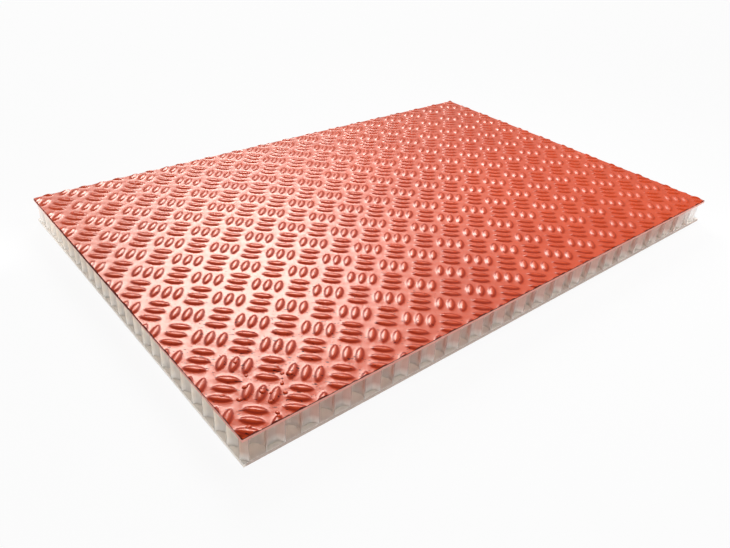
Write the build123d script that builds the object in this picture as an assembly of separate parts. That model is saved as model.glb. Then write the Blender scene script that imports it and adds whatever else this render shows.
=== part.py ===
"""Sawn sample of a sandwich panel: tread-faced fibreglass skin, plastic honeycomb core, plain skin.

The panel lies flat. The origin is at the middle of its underside, X runs along the long side,
Y along the short side and Z up, towards the tread.
"""

import os
from math import ceil, cos, hypot, radians, sin, sqrt

from build123d import *

# Panel
panel_length = 300.0
panel_width = 200.0
top_skin_thickness = 1.5
core_thickness = 10.0
bottom_skin_thickness = 1.5

# Honeycomb: hexagonal cells that stand upright, with two of their flats facing along Y
cell_across_flats = 8.0
cell_wall = 0.3
cell_phase_x = -6.0
cell_phase_y = -1.6

# Tread: bars in groups side by side, and each group lies at a right angle to those around it
bar_length = 8.8
bar_width = 3.6
bar_height = 0.8
bars_in_group = 3
gap_between_bars = 1.15
gap_between_groups = 1.87
tread_turn = 44.25
tread_phase_x = 2.9
tread_phase_y = -6.3

# What follows from these
bottom_skin_top = bottom_skin_thickness
core_top = bottom_skin_top + core_thickness
land_level = core_top + top_skin_thickness
bar_pitch = bar_width + gap_between_bars
group_width = (bars_in_group - 1) * bar_pitch + bar_width
group_pitch = bar_length / 2 + gap_between_groups + group_width / 2


def slab(thickness, base_level):
    """A plain rectangular layer of the panel."""
    outline = Plane.XY.offset(base_level) * Rectangle(panel_length, panel_width)
    return extrude(outline, thickness)


def cut_cells():
    """Places of the hexagonal cells that the saw cut through, on any of the four edges."""
    column_pitch = cell_across_flats * sqrt(3) / 2
    corner_reach = cell_across_flats / sqrt(3)
    flat_reach = cell_across_flats / 2
    columns = ceil((panel_length / 2 + abs(cell_phase_x)) / column_pitch) + 1
    rows = ceil((panel_width / 2 + abs(cell_phase_y)) / cell_across_flats) + 1
    for column in range(-columns, columns + 1):
        x = cell_phase_x + column * column_pitch
        past_end = abs(x) + corner_reach - panel_length / 2
        stagger = (column % 2) * cell_across_flats / 2
        for row in range(-rows, rows + 1):
            y = cell_phase_y + stagger + row * cell_across_flats
            past_side = abs(y) + flat_reach - panel_width / 2
            touches_panel = past_end < 2 * corner_reach and past_side < 2 * flat_reach
            if touches_panel and max(past_end, past_side) > 0:
                yield Pos(x, y)


def make_honeycomb_core():
    """The core's sawn outline, with every cut cell open, raised to the core's thickness."""
    opening = RegularPolygon((cell_across_flats - cell_wall) / sqrt(3), 6)
    outline = Rectangle(panel_length, panel_width) - [place * opening for place in cut_cells()]
    # A crumb of wall that the saw cuts loose on every side falls away.
    whole_piece = outline.faces().sort_by(SortBy.AREA)[-1]
    return extrude(Plane.XY.offset(bottom_skin_top) * whole_piece, core_thickness)


def bar_centres():
    """Middle and turn of every bar: a few side by side, then as many the other way, all over."""
    turn = radians(tread_turn)
    reach = hypot(panel_length, panel_width) / 2 + hypot(tread_phase_x, tread_phase_y)
    steps = ceil(reach / group_pitch)
    for i in range(-steps, steps + 1):
        for j in range(-steps, steps + 1):
            crosswise = (i + j) % 2 == 0
            for k in range(bars_in_group):
                aside = (k - (bars_in_group - 1) / 2) * bar_pitch
                u = i * group_pitch + (aside if crosswise else 0)
                v = j * group_pitch + (0 if crosswise else aside)
                x = tread_phase_x + u * cos(turn) - v * sin(turn)
                y = tread_phase_y + u * sin(turn) + v * cos(turn)
                yield x, y, tread_turn + (90 if crosswise else 0)


def bar_places():
    """Places on the land of the bars that are whole, and of those that the saw cut through."""
    whole, sawn = [], []
    for x, y, turn in bar_centres():
        across = abs(sin(radians(turn)))
        along = abs(cos(radians(turn)))
        reach_x = max(bar_length * along, bar_width * across) / 2
        reach_y = max(bar_length * across, bar_width * along) / 2
        from_end = panel_length / 2 - abs(x)
        from_side = panel_width / 2 - abs(y)
        place = Pos(x, y, land_level) * Rot(0, 0, turn)
        if from_end > reach_x and from_side > reach_y:
            whole.append(place)
        elif from_end > -reach_x and from_side > -reach_y:
            sawn.append(place)
    return whole, sawn


def facet(*corners):
    """A flat face between points."""
    return Face(Wire.make_polygon(corners, close=True))


def make_top_skin():
    """The laminate with its tread, moulded in one and sawn through at the edges."""
    ends = [Vector(-bar_length / 2, 0), Vector(bar_length / 2, 0)]
    sides = [Vector(0, -bar_width / 2), Vector(0, bar_width / 2)]
    crown = Vector(0, 0, bar_height)
    foot = [ends[0], sides[0], ends[1], sides[1]]
    slopes = Shell([facet(foot[n - 1], foot[n], crown) for n in range(len(foot))])
    bar = Solid(Shell([*slopes.faces(), facet(*foot)]))
    whole_places, sawn_places = bar_places()

    # The bars that the saw cut through are trimmed to the panel and fused to the flat laminate.
    envelope = slab(top_skin_thickness + bar_height, core_top)
    trimmed = [envelope & (place * bar) for place in sawn_places]
    laminate = slab(top_skin_thickness, core_top).fuse(*[piece for piece in trimmed if piece])

    # The whole bars are sewn in: the land gets an opening at each foot, closed by its slopes.
    level_faces = laminate.faces().filter_by(Axis.Z).group_by(Axis.Z)[-1]
    land = level_faces.sort_by(SortBy.AREA)[-1]
    feet = [place * Wire.make_polygon(foot, close=True) for place in whole_places]
    open_land = Face(land.outer_wire(), [*land.inner_wires(), *feet])
    rest = [face for face in laminate.faces() if not face.is_same(land)]
    bars = [face for place in whole_places for face in (place * slopes).faces()]
    return Solid(Shell([open_land, *rest, *bars]))


os.makedirs("parts", exist_ok=True)
nodes = {
    "bottom_skin": slab(bottom_skin_thickness, 0),
    "honeycomb_core": make_honeycomb_core(),
    "top_skin": make_top_skin(),
}
for name, shape in nodes.items():
    export_step(shape, f"parts/{name}.step")
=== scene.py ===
import math
import random

import bmesh
import bpy
import numpy as np
from mathutils import Euler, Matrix, Vector, bvhtree, noise
from mathutils.geometry import delaunay_2d_cdt


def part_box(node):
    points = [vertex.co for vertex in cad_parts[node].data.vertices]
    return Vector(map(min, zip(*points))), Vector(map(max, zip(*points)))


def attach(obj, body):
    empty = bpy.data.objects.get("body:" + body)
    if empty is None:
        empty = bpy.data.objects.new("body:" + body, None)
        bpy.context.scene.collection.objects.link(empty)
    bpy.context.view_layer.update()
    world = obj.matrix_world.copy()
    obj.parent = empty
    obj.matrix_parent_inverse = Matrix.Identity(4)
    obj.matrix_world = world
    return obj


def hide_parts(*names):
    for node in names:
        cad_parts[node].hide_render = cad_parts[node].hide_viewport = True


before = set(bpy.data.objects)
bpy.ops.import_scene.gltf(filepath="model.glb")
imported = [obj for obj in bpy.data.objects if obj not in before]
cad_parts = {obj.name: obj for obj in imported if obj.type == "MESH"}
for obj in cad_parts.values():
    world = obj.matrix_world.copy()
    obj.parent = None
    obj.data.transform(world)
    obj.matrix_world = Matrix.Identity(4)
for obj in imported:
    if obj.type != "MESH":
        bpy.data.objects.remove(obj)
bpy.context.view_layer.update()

# Everything is in metres, in the frame's own axes. MM turns a size in millimetres into metres.
MM = 0.001

# Both sources of chance are seeded, so that every run gives the same meshes.
random.seed(7)
noise.seed_set(7)

# Panel, read from the frame
skin_low, skin_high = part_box("top_skin")
core_low, core_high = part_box("honeycomb_core")
base_low, base_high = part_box("bottom_skin")
HALF_LENGTH = skin_high.x
HALF_WIDTH = skin_high.y

# How near points count as on the panel's rim, on a saw cut, and as one point in plan
RIM_TOLERANCE = 1e-6
CUT_TOLERANCE = 1e-8
PLAN_TOLERANCE = 1e-7

# Tread, with the same sizes as the CAD model's bars
BAR_LENGTH = 8.8 * MM
BAR_WIDTH = 3.6 * MM
BAR_HEIGHT = 0.8 * MM
BARS_IN_GROUP = 3
BAR_PITCH = BAR_WIDTH + 1.15 * MM
GROUP_WIDTH = (BARS_IN_GROUP - 1) * BAR_PITCH + BAR_WIDTH
GROUP_PITCH = BAR_LENGTH / 2 + 1.87 * MM + GROUP_WIDTH / 2
TREAD_TURN = math.radians(44.25)
TREAD_PHASE = Vector((2.9 * MM, -6.3 * MM))
LAND_LEVEL = skin_high.z - BAR_HEIGHT

# Rounded form of a bar. Its section goes from the land to the crest, in millimetres: how far
# outside the bar's outline, and how high. Lengthwise the rings lie TIP_DRAW times as far apart,
# and the outline is an ellipse whose tips are more pointed, the more TIP_SHARPNESS is above 1.
# The crest is a line that reaches CREST_REACH to both sides of the bar's middle.
BAR_SECTION = (
    (0.50, 0.0), (0.05, 0.05), (-0.35, 0.21), (-0.75, 0.36), (-1.15, 0.465), (-1.5, 0.515),
)
BAR_CORNERS = 12
TIP_DRAW = 1.3
TIP_SHARPNESS = 1.3
CREST_HEIGHT = 0.53 * MM
CREST_REACH = 0.19 * BAR_LENGTH

# Sawn sides of the tread skin: the spacing of their points, and how far down the dark gelcoat
# reaches. On the left it reaches further, most of all at BAND_MIDDLE of the half width, from where
# it falls off as a squared cosine, with an angle of BAND_FALL for the half width.
EDGE_STEP = 0.8 * MM
GELCOAT_BAND = 0.38 * MM
LEFT_BAND = 1.46 * MM
BAND_MIDDLE = 0.3
BAND_FALL = math.radians(75)

# Chips along the sawn rim: fine ones all along, and bites where broader noise is high. The sides
# below it have SIDE_SHARE of their depth. A seed keeps one row's chips apart from another's.
CHIP_SIZE, CHIP_DEPTH = 1.1 * MM, 0.10 * MM
BITE_SIZE, BITE_DEPTH = 2.6 * MM, 0.75 * MM
BITE_THRESHOLD = 0.25
BITE_SEED_SHIFT = 20
SIDE_SHARE = 0.5
RIM_SEED = 3

# Material index of each row of faces on the tread skin's sides, from the rim down, and its seed
SAWN_GELCOAT, LAMINATE = 1, 2
SIDE_SEEDS = {SAWN_GELCOAT: 31, LAMINATE: 47}

# Honeycomb, with the same sizes as the CAD model's cells. A cell's corner is cut back by
# CORNER_CUT of its reach, and its rounding starts CORNER_ROUND of the way to the next corner.
CELL = 8.0 * MM
CELL_WALL = 0.3 * MM
CELL_PHASE = Vector((-6.0 * MM, -1.6 * MM))
CORNER_CUT = 0.07
CORNER_ROUND = 0.22

# The thin walls wave sideways, in waves drawn out upwards. Cells near the rim have as many steps up
# their walls as CUT_CELL_LEVELS, because the saw may have opened them. A piece of wall with fewer
# points than CRUMB_POINTS was sawn loose.
WALL_WAVE = 0.10 * MM
WALL_WAVE_LENGTH = 7 * MM
WALL_WAVE_RISE = 0.35
CUT_CELL_LEVELS = 7
CRUMB_POINTS = 40

# Fray of the sawn walls: its depth everywhere, and what is added towards the right end
FRAY = 0.12 * MM
RIGHT_FRAY = 0.25 * MM
RIGHT_FRAY_POWER = 6
FRAY_SIZE = 1.7 * MM
FRAY_SEED = 60

# Plain skin underneath: rows of points on its sides, from its foot at 0 to its top at 1
LAMINATE_ROWS = (0.0, 0.12, 0.55, 1.0)
FOOT_ROUNDING = 0.15 * MM
LAMINATE_FRAY = 0.12 * MM
LAMINATE_FRAY_SIZE = 2.0 * MM
LAMINATE_SEED = 80

# Resin drops near the front corner: place in plan and radius, in millimetres, before DROP_SCALE
DROPS = (
    (-121.0, -83.6, 1.05), (-137.1, -80.3, 0.75), (-141.7, -84.4, 0.75), (-125.8, -86.1, 0.65),
    (-127.5, -90.5, 0.75), (-134.0, -91.3, 0.70), (-131.4, -87.8, 0.50), (-134.8, -96.9, 0.65),
    (-135.6, -98.8, 0.60), (-145.6, -96.8, 0.75), (-145.3, -79.6, 0.70), (-133.6, -85.8, 0.95),
    (-133.4, -67.6, 0.60), (-122.6, -77.8, 0.65), (-123.0, -81.8, 0.55), (-133.7, -75.6, 0.55),
)
DROP_SCALE = 1.25

# Small stray drops: radii in millimetres, and where most of them lie and the last ones to the
# right and to the back, in half lengths and half widths
STRAY_DROPS = 46
STRAY_RADII = (0.18, 0.4)
STRAY_MOST = -0.9
STRAY_RIGHT = 0.1
STRAY_BACK = 0.2

# Form of a drop: its loops' reach in radii and height in drop heights, its height in radii, and
# how oval it is, with a direction that turns by OVAL_TURN radians for each metre along the panel.
# A drop that reaches nearer to an edge than DROP_MARGIN is left out.
DROP_LOOPS = ((1.0, -0.06), (0.97, 0.28), (0.78, 0.68), (0.45, 0.93))
DROP_CORNERS = 12
DROP_HEIGHT = 0.4
DROP_OVAL = 0.12
OVAL_TURN = 900
DROP_MARGIN = 0.3 * MM

# Painted shade on each ring of BAR_SECTION, and on each loop of a drop: 1 is the darkest. It
# darkens the bars' flanks and feet and the drops' rims, where shade falls. On the bars it fades
# towards the right end and the back, where the flanks lie less in shade, from its full share at the
# middle to a lesser share.
BAR_PAINTED_SHADE = (0.0, 0.35, 0.85, 0.45, 0.05, 0.0)
PAINTED_SHADE_AT_RIGHT = 0.15
PAINTED_SHADE_AT_BACK = 0.1
DROP_PAINTED_SHADE = (0.8, 0.5, 0.1, 0.0)

# Dark specks: their width, and length in widths, the noise between which one sets in, and how
# much the noise is lowered from the middle of the specks out to their reach.
SPECK_WIDTH = 0.75 * MM
SPECK_LENGTH = 2.6
SPECK_SETS_IN = (0.66, 0.68)
SPECK_THINNING = 0.16
SPECK_CENTRE = (-118 * MM, -70 * MM, LAND_LEVEL)
SPECK_REACH = 150 * MM

# Colour of the plastic along the panel's length, from the left end at 0 to the right end at 1. It
# is
# painted light: the pink stands for light that comes through the red skin, and the paler left end
# and right part for the brighter light that falls there.
PLASTIC_ALONG = (
    (0.0, (0.99, 0.86, 0.72)), (0.03, (0.99, 0.83, 0.71)), (0.12, (0.99, 0.74, 0.64)),
    (0.60, (0.99, 0.75, 0.66)), (0.90, (0.99, 0.80, 0.71)),
)

# Painted shade by depth, from a long side's saw cut at 0 to the depth below inwards at 1: the walls
# within 2 to 3 mm of the cut are painted darker, so that they look no brighter than the deeper
# walls, which lie in shade
PLASTIC_INWARD = ((0.0, (0.68, 0.56, 0.54)), (0.27, (0.70, 0.58, 0.56)), (0.36, (1.0, 1.0, 1.0)))
INWARD_SHADE_DEPTH = 8 * MM

# Studio: the floor's half size, its matt grey, the share of it that glows white instead and how
# brightly that lights the panel, and the sky's even fill. The two end lamps are small, stand close
# to the panel's corners and aim at a point at this height on them.
FLOOR_REACH = 4.0
FLOOR_GREY = 0.85
FLOOR_WHITE = 0.93
FLOOR_GLOW = 1.2
WORLD_FILL = 0.096
LAMP_DISTANCE = 3.0
END_LAMP_SIZE = (0.03, 0.03)
END_LAMP_DISTANCE = 0.045
END_LAMP_AIM = 6 * MM

# The window's soft glow that the gloss mirrors: where its middle is, in degrees, its extent, and
# its levels, which fall off with the distance from the middle in extents.
GLOW_AZIMUTH, GLOW_ELEVATION = 61.5, 35.0
GLOW_WIDTH, GLOW_HEIGHT = 1.6, 1.05
GLOW_STRENGTH = 13.3
GLOW_COLOUR = (1.0, 0.98, 0.90)
GLOW_LEVELS = (
    (0.0, 1.0), (0.06, 0.95), (0.09, 0.78), (0.12, 0.50), (0.16, 0.28), (0.21, 0.15),
    (0.28, 0.060), (0.42, 0.019), (0.7, 0.008), (1.0, 0.006),
)

# Camera, solved from the panel's corners and edges in the photograph
CAMERA_PLACE = Vector((-219.48, -229.40, 168.11)) * MM
CAMERA_TARGET = Vector((-57.86, -48.98, 13.0)) * MM
CAMERA_ROLL = math.radians(3.849)
CAMERA_LENS = 32.485
CAMERA_SENSOR = 36.0
CAMERA_CLIP = 0.01


# Helpers for meshes

def add_piece(name, bm, materials):
    """The piece made of a bmesh, with its materials, riding on the panel's one body."""
    mesh = bpy.data.meshes.new(name)
    bm.to_mesh(mesh)
    bm.free()
    for material in materials:
        mesh.materials.append(material)
    piece = bpy.data.objects.new(name, mesh)
    bpy.context.scene.collection.objects.link(piece)
    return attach(piece, "root")


def bmesh_of(mesh):
    """A bmesh that takes over the contents of a scratch mesh."""
    bm = bmesh.new()
    bm.from_mesh(mesh)
    bpy.data.meshes.remove(mesh)
    return bm


def paint_shade_share(mesh, values):
    """Gives each vertex of a mesh the share of painted shade that its material shows there."""
    mesh.attributes.new("painted_shade", "FLOAT", "POINT").data.foreach_set("value", values)


def band(lower, upper):
    """The quads between two closed loops with as many points."""
    for n in range(len(lower)):
        m = (n + 1) % len(lower)
        yield lower[n], lower[m], upper[m], upper[n]


def ragged(point, size, seed):
    """Smooth noise between -1 and 1 at a point, with features of the given size."""
    return noise.noise(Vector(point) / size + Vector((seed, 0, 0)))


def inward(point):
    """Direction from a point on the panel's rim towards the inside, and none from elsewhere."""
    direction = Vector((0, 0, 0))
    if abs(point.x) > HALF_LENGTH - RIM_TOLERANCE:
        direction.x = -math.copysign(1, point.x)
    if abs(point.y) > HALF_WIDTH - RIM_TOLERANCE:
        direction.y = -math.copysign(1, point.y)
    return direction


def sheet_corners(margin):
    """Corners in plan of a sheet that is larger than the panel by the margin."""
    x, y = HALF_LENGTH + margin, HALF_WIDTH + margin
    return [Vector((-x, -y)), Vector((-x, y)), Vector((x, -y)), Vector((x, y))]


def faces_between(rings, margin):
    """Triangles of a flat sheet around closed rings, larger than the panel by the margin.

    The rings are lists of points in plan. A triangle's corners are numbers in the joined list of
    all ring points, followed by the sheet's four corners.
    """
    plan = [Vector(point) for ring in rings for point in ring] + sheet_corners(margin)
    owner = [number for number, ring in enumerate(rings) for _ in ring] + [-1, -2, -3, -4]
    edges = []
    first = 0
    for ring in rings:
        edges += [(first + n, first + (n + 1) % len(ring)) for n in range(len(ring))]
        first += len(ring)
    _, _, triangles, origins, _, _ = delaunay_2d_cdt(plan, edges, [], 0, PLAN_TOLERANCE)
    found = [[origins[index][0] for index in triangle] for triangle in triangles]
    return [triangle for triangle in found if len({owner[index] for index in triangle}) > 1]


def saw(bm, cap_material=None):
    """Cuts away everything outside the panel's four edges, and closes the cut if asked."""
    for normal, reach in (((1, 0, 0), HALF_LENGTH), ((0, 1, 0), HALF_WIDTH)):
        for sign in (1, -1):
            direction = Vector(normal) * sign
            cut = bmesh.ops.bisect_plane(
                bm, geom=bm.verts[:] + bm.edges[:] + bm.faces[:], dist=CUT_TOLERANCE,
                plane_co=direction * reach, plane_no=direction, clear_outer=True,
            )["geom_cut"]
            if cap_material is None:
                continue
            edges = [item for item in cut if isinstance(item, bmesh.types.BMEdge)]
            caps = bmesh.ops.triangle_fill(
                bm, edges=edges, use_dissolve=False, normal=direction
            )["geom"]
            for item in caps:
                if isinstance(item, bmesh.types.BMFace):
                    item.material_index = cap_material


def boundary(bm):
    """The edges around an open sheet."""
    return [edge for edge in bm.edges if edge.is_boundary]


def split_long_edges(edges, step):
    """Adds vertices along straight edges, so that a sawn edge can be made uneven."""
    for edge in edges:
        start, end = edge.verts[0], edge.verts[1]
        pieces = max(1, round(edge.calc_length() / step))
        for left in range(pieces, 1, -1):
            edge, start = bmesh.utils.edge_split(edge, start, 1 / left)
            edge = next(e for e in start.link_edges if end in e.verts)


# Tread skin

def bar_ring(outset):
    """Outline of a tread bar, a pointed oval with soft tips, moved outwards by outset."""
    half_length = BAR_LENGTH / 2 + TIP_DRAW * outset
    half_width = BAR_WIDTH / 2 + outset
    ring = []
    for n in range(BAR_CORNERS):
        angle = 2 * math.pi * n / BAR_CORNERS
        side = math.copysign(abs(math.sin(angle)) ** TIP_SHARPNESS, math.sin(angle))
        ring.append((half_length * math.cos(angle), half_width * side))
    return ring


def bar_template():
    """Points and faces of one bar on a flat land, from an outer ring on the land to the crest."""
    points, loops = [], []
    for outset, height in BAR_SECTION:
        loops.append(range(len(points), len(points) + BAR_CORNERS))
        points += [(x, y, height * MM) for x, y in bar_ring(outset * MM)]
    faces = [quad for lower, upper in zip(loops, loops[1:]) for quad in band(lower, upper)]
    top, front, back = loops[-1], len(points), len(points) + 1
    points += [(CREST_REACH, 0, CREST_HEIGHT), (-CREST_REACH, 0, CREST_HEIGHT)]
    quarter = BAR_CORNERS // 4
    for n in range(BAR_CORNERS):
        tip = front if n < quarter or n >= 3 * quarter else back
        faces.append((top[n], top[(n + 1) % BAR_CORNERS], tip))
    faces.append((top[quarter], back, front))
    faces.append((top[3 * quarter], front, back))
    return points, faces


def bar_places(margin):
    """Middle and turn of every bar on the panel and a margin around it."""
    reach = math.hypot(HALF_LENGTH, HALF_WIDTH) + margin
    steps = math.ceil(reach / GROUP_PITCH)
    along = Vector((math.cos(TREAD_TURN), math.sin(TREAD_TURN)))
    across = Vector((-along.y, along.x))
    for i in range(-steps, steps + 1):
        for j in range(-steps, steps + 1):
            crosswise = (i + j) % 2 == 0
            stack, turn = (along, TREAD_TURN + math.pi / 2) if crosswise else (across, TREAD_TURN)
            group = TREAD_PHASE + along * i * GROUP_PITCH + across * j * GROUP_PITCH
            for k in range(BARS_IN_GROUP):
                middle = group + stack * (k - (BARS_IN_GROUP - 1) / 2) * BAR_PITCH
                if abs(middle.x) < HALF_LENGTH + margin and abs(middle.y) < HALF_WIDTH + margin:
                    yield middle, turn


def tread_sheet():
    """The moulded face as one sheet, larger than the panel, before it is sawn to size."""
    points, faces = bar_template()
    template = np.array(points)
    placed_bars, all_faces, rings, ring_indices = [], [], [], []
    for number, (middle, turn) in enumerate(bar_places(BAR_LENGTH)):
        c, s = math.cos(turn), math.sin(turn)
        placed = template + (0, 0, LAND_LEVEL)
        placed[:, 0] = middle.x + template[:, 0] * c - template[:, 1] * s
        placed[:, 1] = middle.y + template[:, 0] * s + template[:, 1] * c
        start = len(points) * number
        placed_bars.append(placed)
        all_faces += [tuple(start + index for index in face) for face in faces]
        rings.append([tuple(point) for point in placed[:BAR_CORNERS, :2]])
        ring_indices += range(start, start + BAR_CORNERS)
    coordinates = np.concatenate(placed_bars)
    margin = 3 * BAR_LENGTH
    outer = [(*corner, LAND_LEVEL) for corner in sheet_corners(margin)]
    ring_indices += range(len(coordinates), len(coordinates) + len(outer))
    for triangle in faces_between(rings, margin):
        all_faces.append(tuple(ring_indices[index] for index in triangle))
    mesh = bpy.data.meshes.new("scratch")
    mesh.from_pydata(np.concatenate([coordinates, outer]).tolist(), [], all_faces)
    # Painted shade for each ring of a bar, fading towards the right end and the back
    bar_shade = [share for share in BAR_PAINTED_SHADE for _ in range(BAR_CORNERS)]
    bar_shade += [0.0] * (len(points) - len(bar_shade))
    fade = np.interp(coordinates[:, 0], (0, HALF_LENGTH), (1.0, PAINTED_SHADE_AT_RIGHT))
    fade *= np.interp(coordinates[:, 1], (0, HALF_WIDTH), (1.0, PAINTED_SHADE_AT_BACK))
    shares = fade * np.tile(bar_shade, len(placed_bars))
    paint_shade_share(mesh, shares.tolist() + [0.0] * len(outer))
    return mesh


def chip_depth(point, seed):
    """How far a sawn rim is bitten in at a point: mostly little, with a few deeper chips."""
    chip = abs(ragged(point, CHIP_SIZE, seed)) * CHIP_DEPTH
    bite = max(0, ragged(point, BITE_SIZE, seed + BITE_SEED_SHIFT) - BITE_THRESHOLD) * BITE_DEPTH
    return chip + bite


def gelcoat_depth(point):
    """How far down the dark gelcoat reaches on a sawn side, deepest about midway on the left."""
    if point.x > -HALF_LENGTH + RIM_TOLERANCE:
        return GELCOAT_BAND
    swell = math.cos(BAND_FALL * (point.y / HALF_WIDTH - BAND_MIDDLE)) ** 2
    return GELCOAT_BAND + (LEFT_BAND - GELCOAT_BAND) * swell


def make_tread_skin(materials):
    """The red skin: the moulded face sawn to size, its chipped rim, its sawn sides and its back.

    The materials are those of the face, of the sawn gelcoat, and of the laminate below it.
    """
    bm = bmesh_of(tread_sheet())
    saw(bm)
    split_long_edges(boundary(bm), EDGE_STEP)
    for face in bm.faces:
        face.smooth = True
    rim = boundary(bm)
    upper = list(dict.fromkeys(vertex for edge in rim for vertex in edge.verts))
    row = {vertex: vertex for vertex in upper}
    for material, seed in SIDE_SEEDS.items():
        below = {}
        for vertex in upper:
            place = vertex.co.copy()
            gelcoat_foot = LAND_LEVEL - gelcoat_depth(place)
            place.z = gelcoat_foot if material == SAWN_GELCOAT else skin_low.z
            place += inward(vertex.co) * SIDE_SHARE * chip_depth(place, seed)
            below[vertex] = bm.verts.new(place)
        for edge in rim:
            a, b = edge.verts
            face = bm.faces.new((row[a], below[a], below[b], row[b]))
            face.material_index = material
        row = below
    for vertex in upper:
        vertex.co += inward(vertex.co) * chip_depth(vertex.co, RIM_SEED)
    foot = [bm.edges.get([row[vertex] for vertex in edge.verts]) for edge in rim]
    for face in bmesh.ops.contextual_create(bm, geom=foot)["faces"]:
        face.material_index = LAMINATE
    bmesh.ops.recalc_face_normals(bm, faces=bm.faces)
    for edge in rim:
        edge.smooth = False
    piece = add_piece("tread_skin", bm, materials)
    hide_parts("top_skin")
    return piece


def drop_places():
    """Place in plan and radius of each drop: those of the list, then small stray ones."""
    for x, y, radius in DROPS:
        yield x * MM, y * MM, DROP_SCALE * radius * MM
    for _ in range(STRAY_DROPS):
        x = random.triangular(-HALF_LENGTH, STRAY_RIGHT * HALF_LENGTH, STRAY_MOST * HALF_LENGTH)
        y = random.triangular(-HALF_WIDTH, STRAY_BACK * HALF_WIDTH, STRAY_MOST * HALF_WIDTH)
        yield x, y, random.uniform(*STRAY_RADII) * MM


def make_droplets(skin, material):
    """Drops of resin that splashed on the tread near the front corner and set there."""
    surface = bvhtree.BVHTree.FromPolygons(
        [vertex.co for vertex in skin.data.vertices],
        [polygon.vertices for polygon in skin.data.polygons],
    )

    def drop_point(x, y, rise):
        """The point this far above the skin, but no higher than the CAD model's crests."""
        foot = surface.ray_cast(Vector((x, y, 1.0)), Vector((0, 0, -1)))[0]
        return Vector((x, y, min(foot.z + rise, skin_high.z)))

    bm = bmesh.new()
    for x, y, radius in drop_places():
        room = radius + DROP_MARGIN
        if abs(x) > HALF_LENGTH - room or abs(y) > HALF_WIDTH - room:
            continue
        height = DROP_HEIGHT * radius
        loops = []
        for reach, rise in DROP_LOOPS:
            loop = []
            for n in range(DROP_CORNERS):
                angle = 2 * math.pi * n / DROP_CORNERS
                spread = radius * reach * (1 + DROP_OVAL * math.sin(2 * angle + OVAL_TURN * x))
                aside = Vector((x + spread * math.cos(angle), y + spread * math.sin(angle)))
                loop.append(bm.verts.new(drop_point(*aside, height * rise)))
            loops.append(loop)
        tip = bm.verts.new(drop_point(x, y, height))
        for lower, upper in zip(loops, loops[1:]):
            for quad in band(lower, upper):
                bm.faces.new(quad)
        for n in range(DROP_CORNERS):
            bm.faces.new((loops[-1][n], loops[-1][(n + 1) % DROP_CORNERS], tip))
        bm.faces.new(loops[0][::-1])
    for face in bm.faces:
        face.smooth = len(face.verts) < DROP_CORNERS
    piece = add_piece("resin_drops", bm, [material])
    # Painted shade, darkest at each drop's rim
    painted_shade = [share for share in DROP_PAINTED_SHADE for _ in range(DROP_CORNERS)] + [0.0]
    paint_shade_share(piece.data, painted_shade * (len(piece.data.vertices) // len(painted_shade)))


# Core

def cell_places(margin):
    """Middle in plan of every honeycomb cell on the panel and a margin around it."""
    column_pitch = CELL * math.sqrt(3) / 2
    columns = math.ceil((HALF_LENGTH + margin) / column_pitch) + 1
    rows = math.ceil((HALF_WIDTH + margin) / CELL) + 1
    for column in range(-columns, columns + 1):
        for row in range(-rows, rows + 1):
            x = CELL_PHASE.x + column * column_pitch
            y = CELL_PHASE.y + (column % 2) * CELL / 2 + row * CELL
            if abs(x) < HALF_LENGTH + margin and abs(y) < HALF_WIDTH + margin:
                yield x, y


def cell_ring(x, y):
    """Outline of a cell's opening: a hexagon with rounded corners."""
    corner_reach = (CELL - CELL_WALL) / math.sqrt(3)
    ring = []
    for n in range(6):
        angle = math.pi / 3 * n
        corner, before, after = (
            Vector((math.cos(toward), math.sin(toward))) * corner_reach
            for toward in (angle, angle - math.pi / 3, angle + math.pi / 3)
        )
        for place in (
            corner.lerp(before, CORNER_ROUND),
            corner * (1 - CORNER_CUT),
            corner.lerp(after, CORNER_ROUND),
        ):
            ring.append((x + place.x, y + place.y))
    return ring


def wander(x, y, z):
    """A point of a thin cell wall, shifted by the wall's small sideways waves."""
    place = Vector((x, y, WALL_WAVE_RISE * z)) / WALL_WAVE_LENGTH
    shift = noise.noise_vector(place) * WALL_WAVE
    return x + shift.x, y + shift.y, z


def honeycomb_block():
    """The core cell by cell, as a mesh larger than the panel, before it is sawn to size."""
    margin = 1.5 * CELL
    low, high = core_low.z, core_high.z
    rings = [cell_ring(x, y) for x, y in cell_places(margin)]
    count = len(rings[0])
    plan = [point for ring in rings for point in ring]
    plan += [tuple(corner) for corner in sheet_corners(2 * margin)]
    points = [wander(x, y, z) for z in (low, high) for x, y in plan]
    faces = []
    for a, b, c in faces_between(rings, 2 * margin):
        faces.append((a, c, b))
        faces.append((a + len(plan), b + len(plan), c + len(plan)))
    for number, ring in enumerate(rings):
        first = number * count
        near_edge = any(
            abs(x) > HALF_LENGTH - CELL / 2 or abs(y) > HALF_WIDTH - CELL / 2 for x, y in ring
        )
        column = [range(first, first + count)]
        for level in range(1, CUT_CELL_LEVELS if near_edge else 1):
            z = low + (high - low) * level / CUT_CELL_LEVELS
            column.append(range(len(points), len(points) + count))
            points += [wander(x, y, z) for x, y in ring]
        column.append(range(len(plan) + first, len(plan) + first + count))
        for lower, upper in zip(column, column[1:]):
            faces += band(upper, lower)
    mesh = bpy.data.meshes.new("scratch")
    mesh.from_pydata(points, [], faces)
    return mesh


def drop_crumbs(bm):
    """Removes the small pieces of wall that the saw cut loose."""
    unseen = set(bm.verts)
    crumbs = []
    while unseen:
        group, waiting = set(), [unseen.pop()]
        while waiting:
            vertex = waiting.pop()
            group.add(vertex)
            for edge in vertex.link_edges:
                other = edge.other_vert(vertex)
                if other in unseen:
                    unseen.remove(other)
                    waiting.append(other)
        if len(group) < CRUMB_POINTS:
            crumbs += group
    bmesh.ops.delete(bm, geom=crumbs, context="VERTS")


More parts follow.
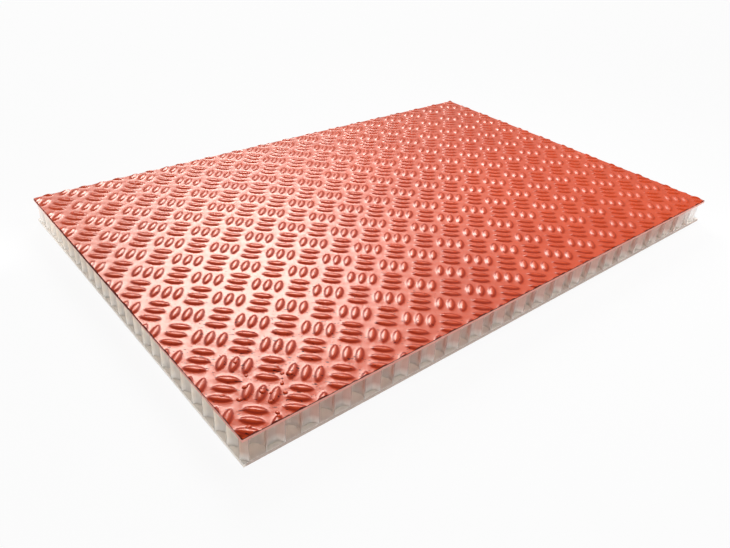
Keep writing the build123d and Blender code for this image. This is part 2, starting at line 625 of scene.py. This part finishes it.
def roughen_saw_cut(bm):
    """Pulls the sawn wall ends in by uneven amounts, and more towards the far right end."""
    for vertex in bm.verts:
        direction = inward(vertex.co)
        if direction.length:
            to_the_right = max(0, vertex.co.x / HALF_LENGTH) ** RIGHT_FRAY_POWER
            fray = FRAY + RIGHT_FRAY * to_the_right
            vertex.co += direction * fray * abs(ragged(vertex.co, FRAY_SIZE, FRAY_SEED))


def make_honeycomb(materials):
    """The whole core, sawn through at the panel's four edges.

    The materials are those of the cell walls and of the saw cut, a darker copy with painted shade.
    """
    bm = bmesh_of(honeycomb_block())
    saw(bm, cap_material=1)
    drop_crumbs(bm)
    roughen_saw_cut(bm)
    piece = add_piece("honeycomb_cells", bm, materials)
    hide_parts("honeycomb_core")


# Plain skin

def make_laminate(materials):
    """The plain skin underneath, with slightly uneven sawn edges.

    The materials are those of the skin and of its upper face, which the core's cells show.
    """
    corners = [Vector((x, y, 0)) for x, y in (
        (-HALF_LENGTH, -HALF_WIDTH), (HALF_LENGTH, -HALF_WIDTH),
        (HALF_LENGTH, HALF_WIDTH), (-HALF_LENGTH, HALF_WIDTH),
    )]
    rim = []
    for start, end in zip(corners, corners[1:] + corners[:1]):
        pieces = round((end - start).length / EDGE_STEP)
        rim += [start.lerp(end, n / pieces) for n in range(pieces)]
    bm = bmesh.new()
    rows = []
    thickness = base_high.z - base_low.z
    for share in LAMINATE_ROWS:
        rounding = FOOT_ROUNDING if share == 0 else 0
        row = []
        for place in rim:
            point = place + Vector((0, 0, base_low.z + share * thickness))
            uneven = LAMINATE_FRAY * abs(ragged(point, LAMINATE_FRAY_SIZE, LAMINATE_SEED))
            row.append(bm.verts.new(point + inward(place) * (rounding + uneven)))
        rows.append(row)
    for lower, upper in zip(rows, rows[1:]):
        for quad in band(lower, upper):
            bm.faces.new(quad)
    bm.faces.new(rows[0][::-1])
    bm.faces.new(rows[-1]).material_index = 1
    piece = add_piece("laminate_skin", bm, materials)
    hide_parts("bottom_skin")


# Materials

class Tree:
    """The node tree of a material or a world, with short ways to add nodes to it."""

    def __init__(self, owner):
        owner.use_nodes = True
        self.tree = owner.node_tree

    def clear(self):
        """Removes the nodes that a new tree comes with."""
        self.tree.nodes.clear()

    def feed(self, target, value):
        """Gives an input a plain value, or links another node's output to it."""
        if isinstance(value, bpy.types.NodeSocket):
            self.tree.links.new(value, target)
        else:
            target.default_value = value

    def add(self, kind, **settings):
        """A new node, with its properties set and its inputs fed by name."""
        node = self.tree.nodes.new(kind)
        for key, value in settings.items():
            if key in node.inputs:
                self.feed(node.inputs[key], value)
            else:
                setattr(node, key, value)
        return node

    def math(self, operation, *values, kind="ShaderNodeMath"):
        """The number that an operation gives for numbers or other nodes' outputs."""
        node = self.add(kind, operation=operation)
        for target, value in zip(node.inputs, values):
            self.feed(target, value)
        return node.outputs["Value"]

    def vector_math(self, operation, *vectors):
        """The number that an operation gives for vectors or other nodes' outputs."""
        return self.math(operation, *vectors, kind="ShaderNodeVectorMath")

    def ramp(self, value, stops):
        """A colour ramp with (position, colour) stops."""
        node = self.add("ShaderNodeValToRGB", Fac=value)
        elements = node.color_ramp.elements
        while len(elements) < len(stops):
            elements.new(0.5)
        for element, (position, colour) in zip(elements, stops):
            element.position = position
            element.color = (*colour, 1)
        return node.outputs["Color"]

    def mix(self, share, first, second):
        """A shader that goes from the first to the second with a share from 0 to 1."""
        node = self.add("ShaderNodeMixShader", Fac=share)
        self.feed(node.inputs[1], first)
        self.feed(node.inputs[2], second)
        return node.outputs["Shader"]


class Surface(Tree):
    """A material built around one Principled shader."""

    def __init__(self, name):
        self.material = bpy.data.materials.new(name)
        super().__init__(self.material)
        self.shader = self.tree.nodes["Principled BSDF"]
        self.place = self.add("ShaderNodeTexCoord").outputs["Object"]

    def finished(self, inputs):
        """The material, once its shader's inputs are fed by name."""
        for name, value in inputs.items():
            self.feed(self.shader.inputs[name], value)
        return self.material

    def noise(self, size, detail=3.0, roughness=0.5, place=None):
        """Noise whose features are about size metres across."""
        node = self.add(
            "ShaderNodeTexNoise", Vector=place or self.place, Scale=1 / size,
            Detail=detail, Roughness=roughness,
        )
        return node.outputs["Fac"]

    def blend(self, share, first, second):
        """A colour that goes from the first to the second, a plain one, with a share up to 1."""
        node = self.add("ShaderNodeMix", data_type="RGBA", Factor=share, A=first, B=(*second, 1))
        return node.outputs["Result"]

    def times(self, first, second):
        """The product of two colours."""
        node = self.add(
            "ShaderNodeMix", data_type="RGBA", blend_type="MULTIPLY", Factor=1.0, A=first, B=second
        )
        return node.outputs["Result"]

    def between(self, value, start, end, low=0.0, high=1.0):
        """A value mapped from the range start to end onto low to high, and kept inside it."""
        node = self.add("ShaderNodeMapRange", Value=value, **{
            "From Min": start, "From Max": end, "To Min": low, "To Max": high,
        })
        return node.outputs["Result"]

    def span(self, value, low, high):
        """A value from 0 to 1 mapped onto low to high."""
        return self.between(value, 0.0, 1.0, low, high)

    def split(self, vector):
        """The X, Y and Z outputs of a vector."""
        return self.add("ShaderNodeSeparateXYZ", Vector=vector).outputs

    def bump(self, height, distance, strength, normal=None):
        """A normal tilted by a height from 0 to 1 that stands for a distance."""
        node = self.add("ShaderNodeBump", Strength=strength, Distance=distance, Height=height)
        if normal:
            self.feed(node.inputs["Normal"], normal)
        return node.outputs["Normal"]


def speck_share(surface):
    """Tiny dark dashes on the gelcoat, fewer and fewer away from the front corner."""
    turned = surface.add(
        "ShaderNodeMapping", vector_type="TEXTURE", Vector=surface.place,
        Rotation=(0, 0, TREAD_TURN + math.pi / 2), Scale=(SPECK_LENGTH, 1, 1),
    ).outputs["Vector"]
    dust = surface.noise(SPECK_WIDTH, detail=1.0, place=turned)
    apart = surface.vector_math("DISTANCE", surface.place, SPECK_CENTRE)
    thinning = surface.between(apart, 0.0, SPECK_REACH, 0.0, -SPECK_THINNING)
    return surface.between(surface.math("ADD", dust, thinning), *SPECK_SETS_IN)


def gelcoat_material():
    """Glossy red gelcoat: colour drift, painted shade on bars and drops, specks, fine orange peel.
    """
    surface = Surface("red_gelcoat")
    drift = surface.noise(45 * MM, detail=4.0)
    colour = surface.ramp(drift, [(0.3, (0.69, 0.063, 0.012)), (0.7, (0.76, 0.080, 0.018))])
    # Painted shade: the bars' flanks and feet and the drops' rims are darkened where shade falls
    painted_shade = surface.add("ShaderNodeAttribute", attribute_name="painted_shade").outputs["Fac"]
    colour = surface.blend(painted_shade, colour, (0.40, 0.026, 0.012))
    specks = speck_share(surface)
    colour = surface.blend(specks, colour, (0.09, 0.012, 0.009))
    peel = surface.bump(surface.noise(2.0 * MM, detail=2.0), 0.05 * MM, 0.8)
    return surface.finished({
        "Base Color": colour,
        "Specular Tint": surface.ramp(specks, [(0.0, (1.0, 1.0, 1.0)), (1.0, (0.12, 0.04, 0.04))]),
        "Roughness": surface.span(surface.noise(3 * MM), 0.12, 0.20),
        "Normal": surface.bump(surface.noise(0.6 * MM, detail=2.0), 0.03 * MM, 0.6, peel),
        "IOR": 1.5,
    })


def sawn_gelcoat_material():
    """The dark sawn edge of the gelcoat."""
    surface = Surface("sawn_gelcoat")
    streaks = surface.noise(0.6 * MM)
    return surface.finished({
        "Base Color": surface.ramp(
            streaks, [(0.3, (0.10, 0.013, 0.008)), (0.75, (0.20, 0.032, 0.020))]
        ),
        "Roughness": 0.9,
        "Specular IOR Level": 0.15,
    })


def laminate_material(name, pale, dark, lit_left_end=None):
    """Fibreglass laminate: a cloudy resin with short strands, and a paler colour at the left end
    that is painted light.
    """
    surface = Surface(name)
    strands = surface.noise(1.4 * MM, detail=5.0, roughness=0.65)
    colour = surface.ramp(strands, [(0.3, dark), (0.7, pale)])
    # Painted light: the left end's sawn face is paler, where more light falls
    if lit_left_end:
        x = surface.split(surface.place)["X"]
        near = surface.between(x, 1.2 * MM - HALF_LENGTH, 0.4 * MM - HALF_LENGTH)
        colour = surface.blend(near, colour, lit_left_end)
    return surface.finished({
        "Base Color": colour,
        "Roughness": surface.span(strands, 0.45, 0.65),
        "Normal": surface.bump(strands, 0.08 * MM, 0.5),
    })


def plastic_material(name, shade):
    """Milky polypropylene with painted light and shade; a shade below 1 makes a darker copy."""
    surface = Surface(name)
    place = surface.split(surface.place)
    along = surface.between(place["X"], -HALF_LENGTH, HALF_LENGTH)
    colour = surface.ramp(along, PLASTIC_ALONG)

    # Painted light: pink on the upper part, as from light through the red skin, and a paler back,
    # where more light falls.
    high = surface.between(place["Z"], core_high.z - 3 * MM, core_high.z + 3 * MM)
    colour = surface.blend(high, colour, (0.95, 0.55, 0.48))
    back = surface.between(place["Y"], 0.75 * HALF_WIDTH, HALF_WIDTH)
    colour = surface.blend(back, colour, (0.98, 0.93, 0.88))

    # Cloudy plastic, with painted shade near the saw cuts of the long sides
    cloud = surface.noise(6 * MM, detail=4.0)
    greys = [(0.3, (0.90 * shade,) * 3), (0.7, (shade,) * 3)]
    colour = surface.times(colour, surface.ramp(cloud, greys))
    from_middle = surface.math("ABSOLUTE", place["Y"])
    depth = surface.between(from_middle, HALF_WIDTH, HALF_WIDTH - INWARD_SHADE_DEPTH)
    colour = surface.times(colour, surface.ramp(depth, PLASTIC_INWARD))

    # Painted light: whitish at the right end, where more light falls; and cream along the foot,
    # partly its own colour and partly painted light against the shade on the cells' floors
    right_end = surface.between(place["X"], 0.84 * HALF_LENGTH, 0.90 * HALF_LENGTH)
    colour = surface.blend(right_end, colour, (1.0 * shade, 0.97 * shade, 0.94 * shade))
    low = surface.between(place["Z"], core_low.z + 4 * MM, core_low.z)
    colour = surface.blend(low, colour, (0.99 * shade, 0.92 * shade, 0.84 * shade))
    return surface.finished({
        "Base Color": colour,
        "Roughness": surface.span(cloud, 0.4, 0.6),
        "Normal": surface.bump(surface.noise(0.7 * MM), 0.04 * MM, 0.4),
        "Subsurface Weight": 0.5,
        "Subsurface Radius": (1.0, 1.0, 1.0),
        "Subsurface Scale": 2.5 * MM,
    })


# Stage

def make_floor():
    """A pale, matt floor that the camera sees nearly white, and that keeps the panel's shadow."""
    mesh = bpy.data.meshes.new("floor")
    low, high = -FLOOR_REACH, FLOOR_REACH
    corners = [(low, low, 0), (high, low, 0), (high, high, 0), (low, high, 0)]
    mesh.from_pydata(corners, [], [(0, 1, 2, 3)])
    floor = bpy.data.objects.new("floor", mesh)
    bpy.context.scene.collection.objects.link(floor)
    material = bpy.data.materials.new("floor")
    mesh.materials.append(material)
    tree = Tree(material)
    tree.clear()
    rays = tree.add("ShaderNodeLightPath").outputs
    seen, lighting = rays["Is Camera Ray"], rays["Is Diffuse Ray"]
    white_share = tree.math(
        "MULTIPLY_ADD", seen, FLOOR_WHITE, tree.math("MULTIPLY", lighting, FLOOR_WHITE)
    )
    strength = tree.math("MULTIPLY_ADD", lighting, FLOOR_GLOW - 1, 1.0)
    matt = tree.add("ShaderNodeBsdfDiffuse", Color=(FLOOR_GREY, FLOOR_GREY, FLOOR_GREY, 1))
    white = tree.add("ShaderNodeEmission", Strength=strength)
    shader = tree.mix(white_share, matt.outputs[0], white.outputs[0])
    tree.add("ShaderNodeOutputMaterial", Surface=shader)


def towards(azimuth, elevation):
    """Unit direction from its azimuth and elevation in degrees."""
    around, up = math.radians(azimuth), math.radians(elevation)
    return Vector((
        math.cos(around) * math.cos(up), math.sin(around) * math.cos(up), math.sin(up)
    ))


def soft_light(name, azimuth, elevation, size, radiance, distance=LAMP_DISTANCE, target=(0, 0, 0)):
    """A rectangular light that shines at a target on the panel from a direction, in degrees."""
    direction = towards(azimuth, elevation)
    light = bpy.data.lights.new(name, "AREA")
    light.shape = "RECTANGLE"
    light.size, light.size_y = size
    light.energy = radiance * math.pi * size[0] * size[1]
    lamp = bpy.data.objects.new(name, light)
    lamp.location = Vector(target) + direction * distance
    lamp.rotation_euler = (-direction).to_track_quat("-Z", "Y").to_euler()
    lamp.visible_camera = False
    lamp.visible_glossy = False
    bpy.context.scene.collection.objects.link(lamp)


def make_lamps():
    """A window behind the panel, a lamp above it, and fills for its sawn faces and their ends."""
    soft_light("window", azimuth=62, elevation=28, size=(1.2, 1.2), radiance=16.6)
    soft_light("overhead", azimuth=-28, elevation=66, size=(0.2, 0.2), radiance=4.0, distance=0.32)
    soft_light("left_fill", azimuth=165, elevation=14, size=(2.0, 1.0), radiance=1.25)
    soft_light("front_fill", azimuth=-118, elevation=14, size=(2.0, 1.0), radiance=2.6)
    soft_light(
        "right_bounce", azimuth=-65, elevation=20, size=END_LAMP_SIZE, radiance=2.8,
        distance=END_LAMP_DISTANCE, target=(HALF_LENGTH, -HALF_WIDTH, END_LAMP_AIM),
    )
    soft_light(
        "left_bounce", azimuth=-150, elevation=20, size=END_LAMP_SIZE, radiance=2.4,
        distance=END_LAMP_DISTANCE, target=(-HALF_LENGTH, HALF_WIDTH, END_LAMP_AIM),
    )


def make_world():
    """Even fill light, a white background, and for gloss a window's soft glow."""
    world = bpy.data.worlds.new("studio")
    bpy.context.scene.world = world
    tree = Tree(world)
    tree.clear()

    def background(colour, strength):
        """A sky of a plain colour, or of one from another node."""
        node = tree.add("ShaderNodeBackground", Color=colour, Strength=strength)
        return node.outputs["Background"]

    middle = towards(GLOW_AZIMUTH, GLOW_ELEVATION)
    sideways = middle.cross(Vector((0, 0, 1))).normalized()
    upwards = sideways.cross(middle)
    place = tree.add("ShaderNodeTexCoord").outputs["Generated"]
    offset = tree.add(
        "ShaderNodeCombineXYZ",
        X=tree.vector_math("DOT_PRODUCT", place, sideways / GLOW_WIDTH),
        Y=tree.vector_math("DOT_PRODUCT", place, upwards / GLOW_HEIGHT),
    )
    apart = tree.vector_math("LENGTH", offset.outputs["Vector"])
    stops = [
        (position, [level * share for share in GLOW_COLOUR]) for position, level in GLOW_LEVELS
    ]
    mirrored = background(tree.ramp(apart, stops), GLOW_STRENGTH)
    lit = background((1, 1, 1, 1), WORLD_FILL)
    shown = background((1, 1, 1, 1), 1.0)
    rays = tree.add("ShaderNodeLightPath").outputs
    sky = tree.mix(rays["Is Glossy Ray"], lit, mirrored)
    sky = tree.mix(rays["Is Transmission Ray"], sky, shown)
    sky = tree.mix(rays["Is Camera Ray"], sky, shown)
    tree.add("ShaderNodeOutputWorld", Surface=sky)


def make_camera():
    """The photograph's view."""
    data = bpy.data.cameras.new("camera")
    data.sensor_fit = "HORIZONTAL"
    data.sensor_width = CAMERA_SENSOR
    data.lens = CAMERA_LENS
    data.clip_start = CAMERA_CLIP
    camera = bpy.data.objects.new("camera", data)
    camera.location = CAMERA_PLACE
    aim = (CAMERA_TARGET - camera.location).to_track_quat("-Z", "Y")
    camera.rotation_mode = "QUATERNION"
    camera.rotation_quaternion = aim @ Euler((0, 0, CAMERA_ROLL)).to_quaternion()
    bpy.context.scene.collection.objects.link(camera)
    bpy.context.scene.camera = camera


make_camera()
make_floor()
make_lamps()
make_world()
gelcoat = gelcoat_material()
sawn_gelcoat = sawn_gelcoat_material()
skin_laminate = laminate_material("skin_laminate", (0.86, 0.40, 0.33), (0.78, 0.34, 0.27))
plain_laminate = laminate_material(
    "plain_laminate", (0.60, 0.47, 0.41), (0.50, 0.39, 0.33), lit_left_end=(0.94, 0.86, 0.77)
)
plastic = plastic_material("milky_plastic", 1.0)
# The saw cut's wall ends get a darker copy: painted shade, so that they look no brighter than the
# shaded cells
sawn_plastic_shaded = plastic_material("sawn_plastic_shaded", 0.66)
tread_skin = make_tread_skin([gelcoat, sawn_gelcoat, skin_laminate])
make_droplets(tread_skin, gelcoat)
make_honeycomb([plastic, sawn_plastic_shaded])
make_laminate([plain_laminate, plastic])

bpy.context.scene.view_settings.view_transform = "Standard"
